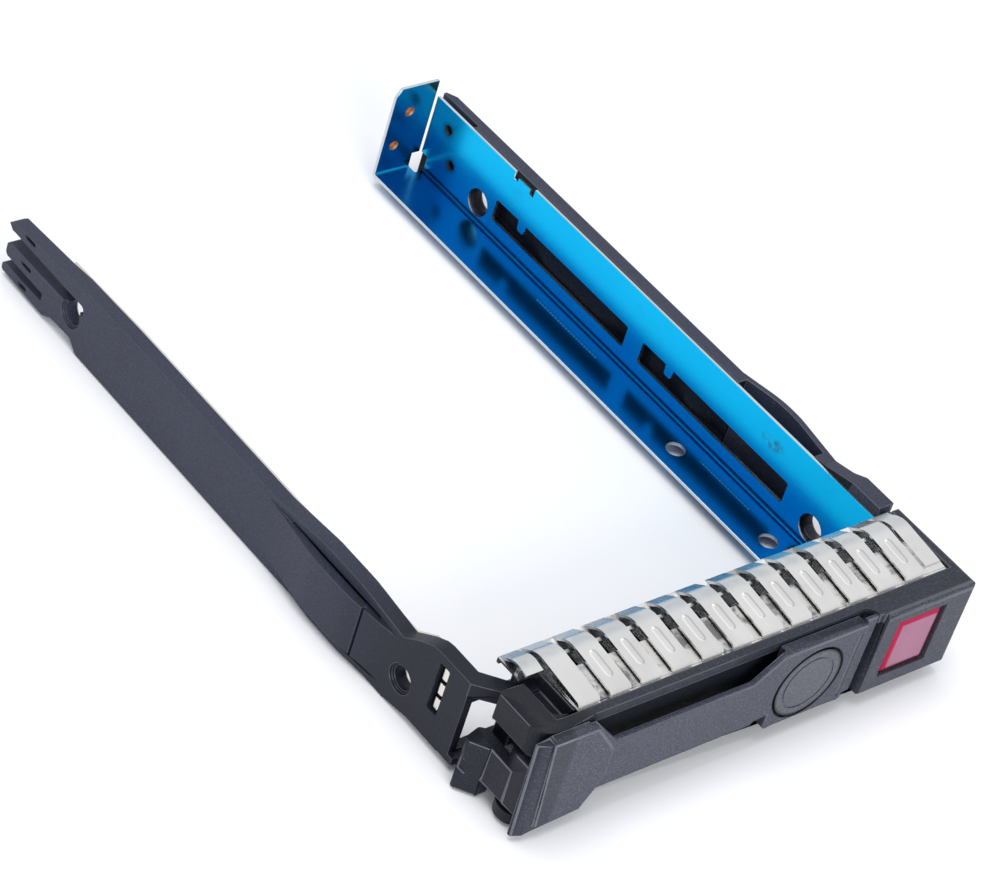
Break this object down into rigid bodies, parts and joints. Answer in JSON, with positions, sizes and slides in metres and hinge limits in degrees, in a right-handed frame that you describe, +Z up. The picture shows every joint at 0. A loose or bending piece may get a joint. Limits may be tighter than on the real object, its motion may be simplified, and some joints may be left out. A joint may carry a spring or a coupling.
{
  "type": "hot swap drive caddy",
  "caption": "Open U-shaped drive tray with two side rails, a fingered grounding strip and a front bezel with a swing-out ejector lever and push button.",
  "frame": {"origin": "centre of the footprint, on the plane of the rails' undersides", "axes": "+X to the rail with the folded steel flange, +Y from the front lever to the open rail ends, +Z up"},
  "size_m": [0.0788, 0.1194, 0.0182],
  "materials": {
    "black_rail": "fine matt moulding",
    "grey_bezel": "fine sparked grain",
    "lever_grey": "fine sparked grain",
    "blue_steel": "thin blue finish, satin",
    "spring_steel": "satin",
    "liner_steel": "satin",
    "clear_ring": "smoked, satin",
    "light_pipe": "clear",
    "button_red": "crimson, satin",
    "screw_steel": "plain",
    "board": "green board",
    "lamp": "white",
    "connector": "plain",
    "tape": "dark film"
  },
  "bodies": {
    "caddy_frame": {"bezel_housing": "grey_bezel", "bezel_back_plate": "black_rail", "cover_screws": "screw_steel", "frame_screws": "screw_steel", "emi_finger_strip": "spring_steel", "side_ground_clip": "spring_steel", "left_rail": "black_rail", "left_liner": "liner_steel", "flex_circuit": "tape", "right_rail_plate": "blue_steel", "right_guide": "black_rail", "ring_light_guide": "light_pipe", "button_spring": "spring_steel", "lever_pivot_pin": "screw_steel", "lever_spring": "spring_steel", "led_board": "board", "board_leds": "lamp", "board_connector": "connector"},
    "lever": {"ejector_lever": "lever_grey", "ring_lens": "clear_ring"},
    "button": {"release_button": "button_red"}
  },
  "joints": [
    {"name": "lever_hinge", "type": "hinge", "parent": "caddy_frame", "child": "lever", "pos_m": [-0.035, -0.05495, 0.008], "axis": [0, 0, -1], "range_deg": [0, 55]},
    {"name": "button_press", "type": "slide", "parent": "caddy_frame", "child": "button", "axis": [0, 1, 0], "range_m": [0, 0.0018], "stiffness_N_per_m": 400, "deforming": ["button_spring"]}
  ]
}
